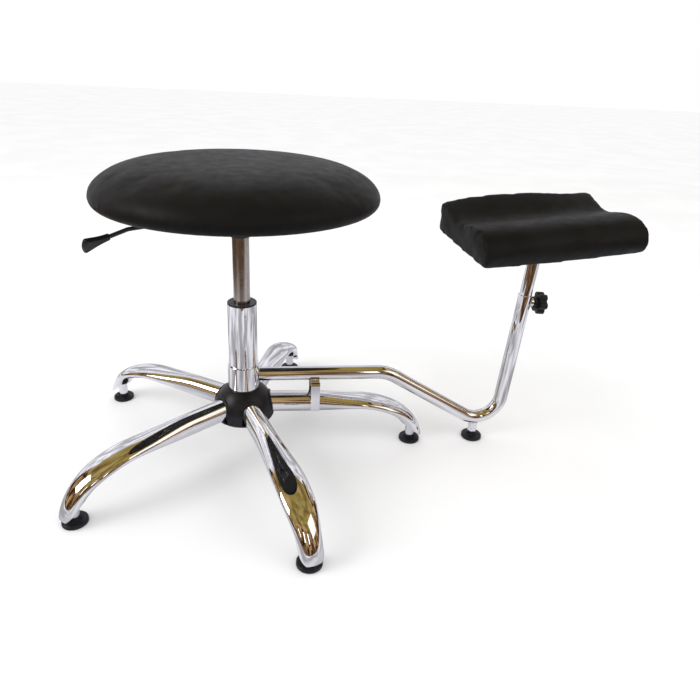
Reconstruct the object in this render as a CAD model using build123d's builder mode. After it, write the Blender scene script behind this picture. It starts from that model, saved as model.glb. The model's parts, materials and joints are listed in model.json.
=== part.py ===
from build123d import *

import os
from math import cos, pi, radians, sin

# Swivel stool with a five-leg base, a gas-lift column and a body-support pad on a side arm.
# Frame: millimetres, +Z up, origin on the column axis at floor level, +X along the side arm.

os.makedirs("parts", exist_ok=True)

# ---- fits and fasteners ----
running_gap = 0.05
seat_gap = 0.02
free_gap = 0.3
hex_sides = 6
stem_chamfer = 1.0

# ---- five-leg base ----
leg_count = 5
leg_pitch = 360 / leg_count
leg_radius = 19.0
leg_wall = 2.0
leg_root_z = 96.3
leg_straight_end = (205.0, 91.3)
upper_bend_radius = 180.0
upper_bend_angle = 23.4
lower_bend_radius = 88.0
lower_bend_angle = 53.0
leg_core_gap = 0.1
mouth_outer = (338.5, 12.5)
mouth_inner = (307.5, 42.0)
mouth_plate = 3.0

# The tube is round up to the first distance, flattest between the next two, and narrow at the tip.
leg_round_length = 105.0
leg_flat_from = 245.0
leg_flat_to = 262.0
leg_tip_from = 342.0
leg_flat_size = (26.0, 11.0)
leg_tip_size = (19.0, 13.5)
leg_section_count = 18

# ---- glides ----
glide_circle = 317.0
glide_radius = 19.75
glide_hub_radius = 11.0
glide_height = 12.0
glide_toe = 1.0
glide_wall_top = 4.0
glide_shoulder = (16.25, 7.2)
glide_neck_z = 9.5
glide_stem_radius = 4.0
glide_stem_base = 5.0
glide_stem_top = 34.0
socket_radius = 8.5
socket_base = 12.5
socket_top = 38.0

# ---- hub ----
hub_radius = 53.6
hub_base = 75.4
hub_shoulder = 92.0
hub_top = 129.0
hub_crown_radius = 29.5
hub_wall = 3.0
hub_lip = 1.6
hub_lip_radius = 22.0
hub_dome_mid = (45.8, 112.6)
dish_base = 69.6
dish_radius = 46.0
dish_wall = 2.5
dish_slope = 0.2
core_radius = 33.5
core_base = 74.0
core_top = 118.0

# ---- column and gas spring ----
column_radius = 25.0
column_foot_radius = 24.0
column_wall = 1.5
column_base = 66.0
column_floor = 3.0
column_top = 289.0
taper_top = hub_top
bush_base = 205.0
bush_flange = 3.0
stake_radius = 1.2
stake_z = 274.0
stake_azimuth = -78.0
cylinder_radius = 14.0
cylinder_bore = 11.5
cylinder_base = 200.0
cylinder_top = 438.0
cylinder_chamfer = 0.8
cavity_base = 218.0
cavity_top = 424.0
gland_base = 201.0
lift_rod_radius = 5.0
lift_rod_base = 61.0
spigot_radius = 3.5
spigot_top = 232.0
piston_base = 219.0
piston_height = 11.0
clip_groove_radius = 4.0
clip_radius = 8.0
clip_base = 64.2
clip_height = 1.5
race_radius = 14.0
race_height = 2.2
ball_radius = 1.5
ball_circle = 9.8
ball_count = 10
bump_radius = 12.5
bump_top = 84.0
bump_chamfer = 2.0
release_pin_radius = 4.0
release_pin_base = 427.0
release_pin_top = 442.0
release_pin_round = 1.0

# ---- seat ----
seat_radius = 224.4
seat_rim_z = 475.8
seat_crown_height = 51.2
seat_base = 463.0
seat_base_radius = 207.0
seat_exponent = 4
profile_steps = 14
board_radius = 192.0
board_thickness = 12.0
board_gap = 0.5
board_chamfer = 1.5
tee_flange_radius = 9.0
tee_flange_height = 1.2
tee_barrel_radius = 4.0
tee_barrel_depth = 10.5
mount_size = 150.0
mount_corner = 12.0
mount_plate = 2.5
mount_screw_spacing = 120.0
mount_box_length = 110.0
mount_box_width = 40.0
mount_box_corner = 6.0
mount_box_base = 434.0
mount_sleeve_radius = 18.0
mount_sleeve_base = 407.0
screw_radius = 3.0
screw_hole_radius = 3.3
screw_head_radius = 5.5
screw_head_height = 4.0
screw_head_round = 1.2
screw_socket_radius = 2.5
screw_top = 474.0

# ---- height lever ----
lever_azimuth = 216.5
lever_z = 445.5
lever_rod_radius = 3.0
lever_inner_end = -12.0
lever_bend = 187.0
lever_tip = (228.0, 436.2)
lever_bend_radius = 14.0
lever_pivot = 40.0
pivot_pin_radius = 2.5
pivot_pin_overhang = 1.0
pivot_head_radius = 4.25
pivot_head_height = 1.2
pivot_boss_radius = 5.0
pivot_boss_length = 16.0
lever_slot_width = 9.0
lever_slot_height = 16.0
lever_slot_rise = 1.0
handle_length = 37.0
handle_root = -15.0
handle_neck = 10.0
handle_width = 30.0
handle_bow = 2.5
handle_thickness = 8.0
handle_roll = -50.0
handle_flare = 0.3
handle_fillet = 3.0
handle_corner = 3.5

# ---- side arm ----
collar_radius = 27.2
collar_base = 129.2
collar_top = 174.0
collar_chamfer = 0.6
arm_radius = 12.5
arm_wall = 1.5
arm_root = (27.0, 152.0)
arm_knee = (262.0, 150.0)
arm_low_corner = (488.0, 12.5)
arm_knee_radius = 72.0
arm_low_radius = 47.0
upright_lean = 3.62
upright_length = 290.0
fork_x = 128.0
fork_strap_width = 16.0
fork_strap_thickness = 3.0
fork_inner_half_width = 20.4
fork_base = 84.0
fork_top = 140.5
foot_x = 444.5
foot_boss_radius = 8.5
foot_boss_base = 22.0
foot_boss_top = 36.0
foot_stem_radius = 5.0
foot_stem_top = 38.0
lock_nut_flats = 16.0
lock_nut_base = 15.9
lock_nut_height = 6.0

# ---- clamp and post ----
clamp_distance = 276.0
clamp_boss_radius = 8.0
clamp_boss_reach = 17.0
clamp_screw_radius = 4.0
clamp_screw_tip = 11.2
clamp_screw_end = 33.0
knob_radius = 20.5
knob_base = 18.0
knob_height = 20.0
knob_neck_height = 6.0
knob_neck_radius = 11.0
knob_lobes = 6
knob_lobe_radius = 6.5
knob_body_radius = 15.5
knob_round = 1.5
post_radius = 10.93
post_wall = 1.5
post_start = 150.0
post_length = 260.0
post_bush_flange = 4.0
post_bush_spigot = 14.0

# ---- support pad ----
pad_centre = (516.0, 11.0, 397.0)
pad_azimuth = 8.3
pad_side_tilt = 6.1
pad_end_tilt = -2.3
pad_length = 303.0
pad_front = -88.0
pad_back = 90.0
pad_nose = (-95.0, 27.0)
pad_brow = (-80.0, 46.0)
pad_roll = (-48.0, 53.5)
pad_slope = (-9.0, 46.0)
pad_valley = (16.0, 39.8)
pad_rise_y = 50.0
pad_rise_share = 0.44
pad_back_z = 53.6
pad_back_crown = 10.4
pad_back_skew = 0.5
pad_edge = 4.0
pad_section_count = 4
pad_board_length = 280.0
pad_board_width = 160.0
pad_board_thickness = 9.0
pad_board_corner = 10.0
flange_length = 100.0
flange_width = 70.0
flange_thickness = 3.0
flange_corner = 8.0
flange_screw_x = 80.0
flange_screw_y = 50.0
pad_screw_radius = 2.5
pad_screw_head_radius = 4.5
pad_screw_head_height = 2.6
pad_screw_depth = 8.0


# ---- legs and glides ----
leg_azimuths = [number * leg_pitch for number in range(leg_count)]

with BuildLine(Plane.XZ) as leg_spine:
    leg_run = Line((0, leg_root_z), leg_straight_end)
    upper_bend = JernArc(leg_run @ 1, leg_run % 1, upper_bend_radius, -upper_bend_angle)
    JernArc(upper_bend @ 1, upper_bend % 1, lower_bend_radius, -lower_bend_angle)

spine = leg_spine.wire()


def blend(start, end, share):
    """Value between start and end that leaves and arrives with no slope."""
    return start + (end - start) * (3 * share**2 - 2 * share**3)


def leg_half_sizes(distance):
    """Half width and half height of the leg at a distance along its centreline."""
    if distance < leg_flat_from:
        share = (distance - leg_round_length) / (leg_flat_from - leg_round_length)
        return [blend(leg_radius, size, share) for size in leg_flat_size]
    share = min(max((distance - leg_flat_to) / (leg_tip_from - leg_flat_to), 0), 1)
    return [blend(flat, tip, share) for flat, tip in zip(leg_flat_size, leg_tip_size)]


leg_step = (spine.length - leg_round_length) / leg_section_count
leg_stations = [leg_round_length + number * leg_step for number in range(leg_section_count + 1)]

mouth_depth = mouth_outer[0] - mouth_inner[0]
mouth_slope = Vector(-mouth_depth, 0, mouth_inner[1] - mouth_outer[1])
mouth_plane = Plane(
    origin=(mouth_outer[0], 0, mouth_outer[1]),
    x_dir=(0, 1, 0),
    z_dir=mouth_slope.cross(Vector(0, -1, 0)),
)


def section_plane(distance):
    """Plane square to the leg's centreline at a distance from the column axis."""
    return Plane(
        origin=spine.position_at(distance, position_mode=PositionMode.LENGTH),
        x_dir=(0, 1, 0),
        z_dir=spine.tangent_at(distance, position_mode=PositionMode.LENGTH),
    )


with BuildPart() as leg_cavity:
    with BuildSketch(section_plane(0)):
        Circle(leg_radius - leg_wall)
    extrude(amount=leg_round_length)
    for distance in leg_stations:
        half_width, half_height = leg_half_sizes(distance)
        with BuildSketch(section_plane(distance)):
            Ellipse(half_width - leg_wall, half_height - leg_wall)
    loft()

with BuildPart() as leg_mouth:
    with BuildSketch(Plane.XZ):
        with BuildLine():
            Polyline(
                mouth_outer,
                mouth_inner,
                (mouth_inner[0] - mouth_depth, mouth_inner[1]),
                (mouth_inner[0] - mouth_depth, 0),
                (mouth_outer[0] + mouth_depth, 0),
                (mouth_outer[0] + mouth_depth, mouth_outer[1]),
                close=True,
            )
        make_face()
    extrude(amount=2 * leg_radius, both=True)

with BuildPart() as leg_blank:
    with BuildSketch(section_plane(0)):
        Circle(leg_radius)
    extrude(amount=leg_round_length)
    for distance in leg_stations:
        with BuildSketch(section_plane(distance)):
            Ellipse(*leg_half_sizes(distance))
    loft()
    add(leg_cavity.part, mode=Mode.SUBTRACT)
    Cylinder(core_radius + leg_core_gap, 3 * hub_top, mode=Mode.SUBTRACT)
    add(leg_mouth.part, mode=Mode.SUBTRACT)

with BuildPart() as socket_blank:
    with BuildSketch(mouth_plane):
        Rectangle(4 * leg_radius, 6 * leg_radius)
    extrude(amount=mouth_plate)
    add(leg_cavity.part, mode=Mode.INTERSECT)
    with BuildSketch(Plane.XY.offset(socket_base)):
        with Locations((glide_circle, 0)):
            Circle(socket_radius)
    extrude(amount=socket_top - socket_base)
    with BuildSketch(Plane.XY.offset(socket_base)):
        with Locations((glide_circle, 0)):
            Circle(glide_stem_radius + running_gap)
    extrude(amount=socket_top - socket_base, mode=Mode.SUBTRACT)

with BuildPart() as glide_stem_blank:
    with BuildSketch(Plane.XY.offset(glide_stem_base)):
        with Locations((glide_circle, 0)):
            Circle(glide_stem_radius)
    extrude(amount=glide_stem_top - glide_stem_base)
    chamfer(glide_stem_blank.edges().sort_by(Axis.Z)[-1], stem_chamfer)

with BuildPart() as glide_centred:
    with BuildSketch(Plane.XZ):
        with BuildLine():
            outline = Polyline(
                (0, 0),
                (glide_radius - glide_toe, 0),
                (glide_radius, glide_toe),
                (glide_radius, glide_wall_top),
            )
            shoulder = Spline(
                outline @ 1,
                glide_shoulder,
                (glide_hub_radius, glide_neck_z),
                tangents=[(0, 1), (0, 1)],
            )
            Polyline(shoulder @ 1, (glide_hub_radius, glide_height), (0, glide_height), (0, 0))
        make_face()
    revolve(axis=Axis.Z)

with BuildPart() as glide_blank:
    with Locations((glide_circle, 0, 0)):
        add(glide_centred.part)
    add(glide_stem_blank.part, mode=Mode.SUBTRACT)

for number, azimuth in enumerate(leg_azimuths, start=1):
    with BuildPart() as leg:
        with PolarLocations(0, 1, start_angle=azimuth):
            add(leg_blank.part)
    leg.part.label = f"leg_{number}"
    export_step(leg.part, f"parts/leg_{number}.step")

    with BuildPart() as glide_socket:
        with PolarLocations(0, 1, start_angle=azimuth):
            add(socket_blank.part)
    glide_socket.part.label = f"glide_socket_{number}"
    export_step(glide_socket.part, f"parts/glide_socket_{number}.step")

    with BuildPart() as glide_stem:
        with PolarLocations(0, 1, start_angle=azimuth):
            add(glide_stem_blank.part)
    glide_stem.part.label = f"glide_stem_{number}"
    export_step(glide_stem.part, f"parts/glide_stem_{number}.step")

    with BuildPart() as glide:
        with PolarLocations(0, 1, start_angle=azimuth):
            add(glide_blank.part)
    glide.part.label = f"glide_{number}"
    export_step(glide.part, f"parts/glide_{number}.step")

# ---- hub ----
def hub_outline(grow):
    """Half section of the hub's outer skin, grown outwards by a small amount."""
    Polyline((0, hub_base), (hub_radius + grow, hub_base), (hub_radius + grow, hub_shoulder))
    ThreePointArc(
        (hub_radius + grow, hub_shoulder),
        (hub_dome_mid[0] + grow, hub_dome_mid[1] + grow),
        (hub_crown_radius, hub_top + min(grow, 0)),
    )
    Polyline((hub_crown_radius, hub_top + min(grow, 0)), (0, hub_top + min(grow, 0)), (0, hub_base))


with BuildPart() as leg_lip:
    with BuildSketch(section_plane(0)):
        Circle(hub_lip_radius)
    extrude(amount=2 * hub_radius)

with BuildPart() as leg_passage:
    with BuildSketch(section_plane(0)):
        Circle(leg_radius + free_gap)
    extrude(amount=2 * hub_radius)
    with BuildSketch(Plane.XY):
        with Locations((hub_radius, 0)):
            Rectangle(2 * hub_radius, 2 * (leg_radius + free_gap))
    extrude(amount=leg_root_z - free_gap)

with BuildPart() as leg_lips:
    with PolarLocations(0, leg_count):
        add(leg_lip.part)

with BuildPart() as leg_passages:
    with PolarLocations(0, leg_count):
        add(leg_passage.part)

with BuildPart() as hub_shell:
    with BuildSketch(Plane.XZ):
        with BuildLine():
            hub_outline(hub_lip)
        make_face()
    revolve(axis=Axis.Z)
    add(leg_lips.part, mode=Mode.INTERSECT)
    with BuildSketch(Plane.XZ):
        with BuildLine():
            hub_outline(0)
        make_face()
    revolve(axis=Axis.Z)
    with BuildSketch(Plane.XZ):
        with BuildLine():
            hub_outline(-hub_wall)
        make_face()
    revolve(axis=Axis.Z, mode=Mode.SUBTRACT)
    with BuildSketch(Plane.XY):
        Circle(hub_radius - hub_wall)
    extrude(amount=hub_shoulder - hub_wall, mode=Mode.SUBTRACT)
    with BuildSketch(Plane.XY):
        Circle(column_radius + free_gap)
    extrude(amount=2 * hub_top, mode=Mode.SUBTRACT)
    add(leg_passages.part, mode=Mode.SUBTRACT)
hub_shell.part.label = "hub_shell"
export_step(hub_shell.part, "parts/hub_shell.step")

with BuildPart() as hub_dish:
    with BuildSketch(Plane.XZ):
        with BuildLine():
            dish_side = Spline(
                (dish_radius, dish_base),
                (hub_radius, hub_base),
                tangents=[(1, dish_slope), (dish_slope, 1)],
            )
            Polyline(
                dish_side @ 1,
                (hub_radius - hub_wall, hub_base),
                (dish_radius - hub_wall, dish_base + dish_wall),
                (column_radius + free_gap, dish_base + dish_wall),
                (column_radius + free_gap, dish_base),
                dish_side @ 0,
            )
        make_face()
    revolve(axis=Axis.Z)
hub_dish.part.label = "hub_dish"
export_step(hub_dish.part, "parts/hub_dish.step")

taper_rate = (column_radius - column_foot_radius) / (taper_top - column_base)


def taper_radius(height):
    """Outer radius of the column's tapered foot at a height."""
    return column_foot_radius + taper_rate * (height - column_base)


with BuildPart() as hub_core:
    with BuildSketch(Plane.XZ):
        with BuildLine():
            Polyline(
                (taper_radius(core_base) + seat_gap, core_base),
                (core_radius, core_base),
                (core_radius, core_top),
                (taper_radius(core_top) + seat_gap, core_top),
                close=True,
            )
        make_face()
    revolve(axis=Axis.Z)
hub_core.part.label = "hub_core"
export_step(hub_core.part, "parts/hub_core.step")

# ---- column and gas spring ----
with BuildPart() as column_tube:
    with BuildSketch(Plane.XZ):
        with BuildLine():
            Polyline(
                (lift_rod_radius + 2 * free_gap, column_base),
                (column_foot_radius, column_base),
                (column_radius, taper_top),
                (column_radius, column_top),
                (column_radius - column_wall, column_top),
                (column_radius - column_wall, taper_top),
                (column_foot_radius - column_wall, column_base + column_floor),
                (lift_rod_radius + 2 * free_gap, column_base + column_floor),
                close=True,
            )
        make_face()
    revolve(axis=Axis.Z)
    with PolarLocations(column_radius, 1, start_angle=stake_azimuth):
        with Locations((0, 0, stake_z)):
            Cylinder(stake_radius, 4 * column_wall, rotation=(0, 90, 0), mode=Mode.SUBTRACT)
column_tube.part.label = "column_tube"
export_step(column_tube.part, "parts/column_tube.step")

with BuildPart() as guide_bush:
    with BuildSketch(Plane.XZ):
        with BuildLine():
            Polyline(
                (cylinder_radius + running_gap, bush_base),
                (column_radius - column_wall - seat_gap, bush_base),
                (column_radius - column_wall - seat_gap, column_top),
                (column_radius - seat_gap, column_top),
                (column_radius - seat_gap, column_top + bush_flange),
                (cylinder_radius + running_gap, column_top + bush_flange),
                close=True,
            )
        make_face()
    revolve(axis=Axis.Z)
    chamfer(guide_bush.edges().group_by(Axis.Z)[-1], bush_flange / 4)
guide_bush.part.label = "guide_bush"
export_step(guide_bush.part, "parts/guide_bush.step")

race_base = column_base + column_floor
ball_z = race_base + race_height + ball_radius

with BuildPart() as thrust_bearing:
    with BuildSketch(Plane.XY.offset(race_base)):
        Circle(race_radius)
        Circle(lift_rod_radius + free_gap, mode=Mode.SUBTRACT)
    extrude(amount=race_height)
    with BuildSketch(Plane.XZ):
        with Locations((ball_circle, ball_z)):
            Circle(ball_radius + seat_gap)
    revolve(axis=Axis.Z, mode=Mode.SUBTRACT)
    with PolarLocations(ball_circle, ball_count):
        with Locations((0, 0, ball_z)):
            Sphere(ball_radius)
thrust_bearing.part.label = "thrust_bearing"
export_step(thrust_bearing.part, "parts/thrust_bearing.step")

bump_base = ball_z + ball_radius + seat_gap

with BuildPart() as bump_stop:
    with BuildSketch(Plane.XY.offset(bump_base)):
        Circle(bump_radius)
        Circle(lift_rod_radius + seat_gap, mode=Mode.SUBTRACT)
    extrude(amount=bump_top - bump_base)
    chamfer(bump_stop.edges().group_by(Axis.Z)[-1].sort_by(SortBy.RADIUS)[-1], bump_chamfer)
bump_stop.part.label = "bump_stop"
export_step(bump_stop.part, "parts/bump_stop.step")

with BuildPart() as piston_rod:
    with BuildSketch(Plane.XZ):
        with BuildLine():
            Polyline(
                (0, lift_rod_base),
                (lift_rod_radius, lift_rod_base),
                (lift_rod_radius, clip_base),
                (clip_groove_radius, clip_base),
                (clip_groove_radius, clip_base + clip_height),
                (lift_rod_radius, clip_base + clip_height),
                (lift_rod_radius, piston_base),
                (spigot_radius, piston_base),
                (spigot_radius, spigot_top),
                (0, spigot_top),
                close=True,
            )
        make_face()
    revolve(axis=Axis.Z)
piston_rod.part.label = "piston_rod"
export_step(piston_rod.part, "parts/piston_rod.step")

with BuildPart() as retaining_clip:
    with BuildSketch(Plane.XY.offset(clip_base + seat_gap)):
        Circle(clip_radius)
        Circle(clip_groove_radius + seat_gap, mode=Mode.SUBTRACT)
        with Locations((clip_radius, 0)):
            Rectangle(2 * clip_radius, 1.5 * clip_groove_radius, mode=Mode.SUBTRACT)
    extrude(amount=clip_height - 2 * seat_gap)
retaining_clip.part.label = "retaining_clip"
export_step(retaining_clip.part, "parts/retaining_clip.step")

with BuildPart() as piston:
    with BuildSketch(Plane.XY.offset(piston_base + seat_gap)):
        Circle(cylinder_bore - running_gap)
        Circle(spigot_radius + seat_gap, mode=Mode.SUBTRACT)
    extrude(amount=piston_height)
piston.part.label = "piston"
export_step(piston.part, "parts/piston.step")

with BuildPart() as gas_cylinder:
    with BuildSketch(Plane.XZ):
        with BuildLine():
            Polyline(
                (cylinder_bore, cylinder_base),
                (cylinder_radius, cylinder_base),
                (cylinder_radius, cylinder_top),
                (release_pin_radius + running_gap, cylinder_top),
                (release_pin_radius + running_gap, cavity_top),
                (cylinder_bore, cavity_top),
                close=True,
            )
        make_face()
    revolve(axis=Axis.Z)
    chamfer(gas_cylinder.edges().group_by(Axis.Z)[0].sort_by(SortBy.RADIUS)[-1], cylinder_chamfer)
gas_cylinder.part.label = "gas_cylinder"
export_step(gas_cylinder.part, "parts/gas_cylinder.step")

with BuildPart() as rod_gland:
    with BuildSketch(Plane.XY.offset(gland_base)):
        Circle(cylinder_bore - seat_gap)
        Circle(lift_rod_radius + running_gap, mode=Mode.SUBTRACT)
    extrude(amount=cavity_base - gland_base)
rod_gland.part.label = "rod_gland"
export_step(rod_gland.part, "parts/rod_gland.step")

with BuildPart() as release_pin:
    with BuildSketch(Plane.XY.offset(release_pin_base)):
        Circle(release_pin_radius)
    extrude(amount=release_pin_top - release_pin_base)
    fillet(release_pin.edges().sort_by(Axis.Z)[-1], release_pin_round)
release_pin.part.label = "release_pin"
export_step(release_pin.part, "parts/release_pin.step")

# ---- seat ----
lever_direction = Vector(cos(radians(lever_azimuth)), sin(radians(lever_azimuth)), 0)
mount_top = seat_base
mount_plane = Plane(origin=(0, 0, mount_top), x_dir=lever_direction, z_dir=(0, 0, 1))
lever_plane = Plane(
    origin=(0, 0, 0),
    x_dir=lever_direction,
    z_dir=(lever_direction.Y, -lever_direction.X, 0),
)
mount_box_height = mount_top - mount_box_base

with BuildPart() as seat_mount:
    with BuildSketch(mount_plane):
        RectangleRounded(mount_size, mount_size, mount_corner)
    extrude(amount=-mount_plate)
    with BuildSketch(mount_plane):
        RectangleRounded(mount_box_length, mount_box_width, mount_box_corner)
    extrude(amount=-mount_box_height)
    with BuildSketch(mount_plane):
        RectangleRounded(
            mount_box_length - 2 * mount_plate,
            mount_box_width - 2 * mount_plate,
            mount_box_corner - mount_plate,
        )
    extrude(amount=mount_plate - mount_box_height, mode=Mode.SUBTRACT)
    with BuildSketch(Plane.XY.offset(mount_sleeve_base)):
        Circle(mount_sleeve_radius)
    extrude(amount=mount_box_base + mount_plate - mount_sleeve_base)
    with BuildSketch(Plane.XY.offset(mount_sleeve_base)):
        Circle(cylinder_radius + seat_gap)
    extrude(amount=mount_box_base + 2 * mount_plate - mount_sleeve_base, mode=Mode.SUBTRACT)
    with BuildSketch(mount_plane):
        with GridLocations(mount_screw_spacing, mount_screw_spacing, 2, 2):
            Circle(screw_hole_radius)
    extrude(amount=-mount_plate, mode=Mode.SUBTRACT)
    with BuildSketch(lever_plane):
        with Locations((lever_pivot, lever_z)):
            Circle(pivot_pin_radius + seat_gap)
    extrude(amount=mount_box_width, both=True, mode=Mode.SUBTRACT)
    with Locations(lever_plane):
        with Locations((mount_box_length / 2, lever_z + lever_slot_rise, 0)):
            Box(4 * mount_plate, lever_slot_height, lever_slot_width, mode=Mode.SUBTRACT)
seat_mount.part.label = "seat_mount"
export_step(seat_mount.part, "parts/seat_mount.step")

board_top = seat_base + board_thickness

with BuildPart() as seat_board:
    with BuildSketch(mount_plane):
        Circle(board_radius)
        with GridLocations(mount_screw_spacing, mount_screw_spacing, 2, 2):
            Circle(tee_barrel_radius + seat_gap, mode=Mode.SUBTRACT)
    extrude(amount=board_thickness)
    chamfer(seat_board.edges().filter_by(GeomType.CIRCLE).sort_by(SortBy.RADIUS)[-2:], board_chamfer)
seat_board.part.label = "seat_board"
export_step(seat_board.part, "parts/seat_board.step")

with BuildPart() as seat_tee_nuts:
    with BuildSketch(mount_plane.offset(board_thickness)):
        with GridLocations(mount_screw_spacing, mount_screw_spacing, 2, 2):
            Circle(tee_flange_radius)
    extrude(amount=tee_flange_height)
    with BuildSketch(mount_plane.offset(board_thickness)):
        with GridLocations(mount_screw_spacing, mount_screw_spacing, 2, 2):
            Circle(tee_barrel_radius)
    extrude(amount=-tee_barrel_depth)
    with BuildSketch(mount_plane):
        with GridLocations(mount_screw_spacing, mount_screw_spacing, 2, 2):
            Circle(screw_radius + seat_gap)
    extrude(amount=2 * board_thickness, mode=Mode.SUBTRACT)
seat_tee_nuts.part.label = "seat_tee_nuts"
export_step(seat_tee_nuts.part, "parts/seat_tee_nuts.step")

with BuildPart() as seat_screws:
    with BuildSketch(mount_plane.offset(-mount_plate)):
        with GridLocations(mount_screw_spacing, mount_screw_spacing, 2, 2):
            Circle(screw_head_radius)
    extrude(amount=-screw_head_height)
    fillet(seat_screws.edges().group_by(Axis.Z)[0], screw_head_round)
    with BuildSketch(mount_plane.offset(-mount_plate)):
        with GridLocations(mount_screw_spacing, mount_screw_spacing, 2, 2):
            Circle(screw_radius)
    extrude(amount=screw_top - mount_top + mount_plate)
    with BuildSketch(mount_plane.offset(-mount_plate - screw_head_height)):
        with GridLocations(mount_screw_spacing, mount_screw_spacing, 2, 2):
            RegularPolygon(screw_socket_radius, hex_sides)
    extrude(amount=screw_head_height / 2, mode=Mode.SUBTRACT)
seat_screws.part.label = "seat_screws"
export_step(seat_screws.part, "parts/seat_screws.step")


def crown_point(step):
    """Point on the seat's upper skin, from the crown (step 0) to the rim (last step)."""
    turn = pi / 2 * step / profile_steps
    return (
        seat_radius * sin(turn) ** (2 / seat_exponent),
        seat_rim_z + seat_crown_height * cos(turn),
    )


with BuildPart() as seat_cushion:
    with BuildSketch(Plane.XZ):
        with BuildLine():
            crown = Spline(
                *[crown_point(step) for step in range(profile_steps + 1)],
                tangents=[(1, 0), (0, -1)],
            )
            under = EllipticalCenterArc(
                (seat_base_radius, seat_rim_z),
                seat_radius - seat_base_radius,
                seat_rim_z - seat_base,
                start_angle=270,
                arc_size=90,
            )
            Line((0, seat_base), (seat_base_radius, seat_base))
            Line((0, seat_base), crown @ 0)
        make_face()
    revolve(axis=Axis.Z)
    with BuildSketch(Plane.XY.offset(seat_base)):
        Circle(board_radius + board_gap)
    extrude(amount=board_thickness + tee_flange_height + board_gap, mode=Mode.SUBTRACT)
seat_cushion.part.label = "seat_cushion"
export_step(seat_cushion.part, "parts/seat_cushion.step")

# ---- height lever ----
with BuildPart() as lever_rod:
    with BuildLine(lever_plane) as lever_path:
        FilletPolyline(
            (lever_inner_end, lever_z),
            (lever_bend, lever_z),
            lever_tip,
            radius=lever_bend_radius,
        )
    with BuildSketch(Plane(origin=lever_path.line @ 0, z_dir=lever_path.line % 0)):
        Circle(lever_rod_radius)
    sweep()
    with BuildSketch(lever_plane):
        with Locations((lever_pivot, lever_z)):
            Circle(pivot_boss_radius)
    extrude(amount=pivot_boss_length / 2, both=True)
    with BuildSketch(lever_plane):
        with Locations((lever_pivot, lever_z)):
            Circle(pivot_pin_radius + running_gap)
    extrude(amount=pivot_boss_length, both=True, mode=Mode.SUBTRACT)
lever_rod.part.label = "lever_rod"
export_step(lever_rod.part, "parts/lever_rod.step")

with BuildPart() as lever_pivot_pin:
    with BuildSketch(lever_plane):
        with Locations((lever_pivot, lever_z)):
            Circle(pivot_pin_radius)
    extrude(amount=mount_box_width / 2 + pivot_pin_overhang, both=True)
    with BuildSketch(lever_plane.offset(mount_box_width / 2 + seat_gap)):
        with Locations((lever_pivot, lever_z)):
            Circle(pivot_head_radius)
    extrude(amount=pivot_head_height)
lever_pivot_pin.part.label = "lever_pivot_pin"
export_step(lever_pivot_pin.part, "parts/lever_pivot_pin.step")

tip_point = lever_plane.from_local_coords((lever_tip[0], lever_tip[1], 0))
tip_direction = lever_path.line % 1
handle_side = Vector(0, 0, 1).cross(tip_direction).normalized()
handle_up = tip_direction.cross(handle_side).normalized()
handle_normal = handle_up * cos(radians(handle_roll)) + handle_side * sin(radians(handle_roll))
handle_plane = Plane(origin=tip_point, x_dir=tip_direction, z_dir=handle_normal)
handle_axis = Axis(handle_plane.origin, handle_plane.z_dir)

handle_end = handle_root + handle_length

with BuildPart() as lever_handle:
    with BuildSketch(handle_plane):
        with BuildLine():
            left_edge = Spline(
                (handle_root, handle_neck / 2),
                (handle_end, handle_width / 2),
                tangents=[(1, 0), (1, handle_flare)],
            )
            right_edge = Spline(
                (handle_root, -handle_neck / 2),
                (handle_end, -handle_width / 2),
                tangents=[(1, 0), (1, -handle_flare)],
            )
            Line(left_edge @ 0, right_edge @ 0)
            ThreePointArc(left_edge @ 1, (handle_end + handle_bow, 0), right_edge @ 1)
        make_face()
    extrude(amount=handle_thickness / 2, both=True)
    fillet(lever_handle.edges().filter_by(handle_axis), handle_corner)
    handle_faces = lever_handle.faces().sort_by(handle_axis)
    fillet(handle_faces[0].edges() + handle_faces[-1].edges(), handle_fillet)
    add(lever_rod.part, mode=Mode.SUBTRACT)
lever_handle.part.label = "lever_handle"
export_step(lever_handle.part, "parts/lever_handle.step")

# ---- side arm ----
upright_direction = Vector(sin(radians(upright_lean)), 0, cos(radians(upright_lean)))
upright_origin = Vector(arm_low_corner[0], 0, arm_low_corner[1])
arm_top = upright_origin + upright_direction * upright_length
upright_plane = Plane(origin=upright_origin, x_dir=(0, 1, 0), z_dir=upright_direction)
clamp_plane = Plane(
    origin=upright_origin + upright_direction * clamp_distance,
    x_dir=(0, 1, 0),
    z_dir=(cos(radians(upright_lean)), 0, -sin(radians(upright_lean))),
)

with BuildLine(Plane.XZ) as arm_path:
    FilletPolyline(
        arm_root,
        arm_knee,
        arm_low_corner,
        (arm_top.X, arm_top.Z),
        radius=(arm_knee_radius, arm_low_radius),
    )

with BuildPart() as collar:
    with BuildSketch(Plane.XY.offset(collar_base)):
        Circle(collar_radius)
        Circle(column_radius + 2 * running_gap, mode=Mode.SUBTRACT)
    extrude(amount=collar_top - collar_base)
    chamfer(collar.edges().filter_by(GeomType.CIRCLE).sort_by(SortBy.RADIUS)[-2:], collar_chamfer)
collar.part.label = "collar"
export_step(collar.part, "parts/collar.step")

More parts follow.
